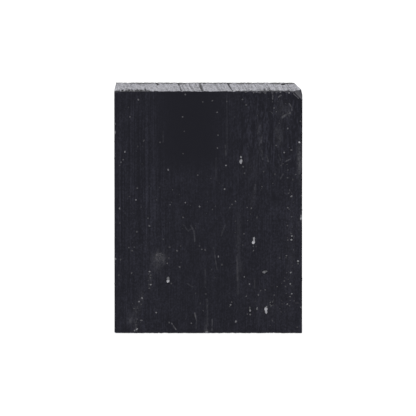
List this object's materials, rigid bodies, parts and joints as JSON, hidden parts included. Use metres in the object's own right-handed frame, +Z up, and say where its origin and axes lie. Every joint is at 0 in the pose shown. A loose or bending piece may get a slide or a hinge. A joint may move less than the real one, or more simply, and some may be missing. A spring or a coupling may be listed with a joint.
{
  "type": "charcoal stick",
  "caption": "Short rectangular block of compressed drawing charcoal, sawn to length, with a chipped corner.",
  "frame": {"origin": "centre of the lower sawn end's bounding rectangle, on the surface that the block stands on", "axes": "+Z up along the pressing direction, from the lower sawn end to the upper one; +Y from the front broad face to the back one, through the thickness; +X across the broad faces, to the right as the front is seen"},
  "size_m": [0.046, 0.015, 0.06],
  "materials": {
    "charcoal": "matte"
  },
  "bodies": {
    "root": {"charcoal_block": "charcoal"}
  },
  "joints": []
}
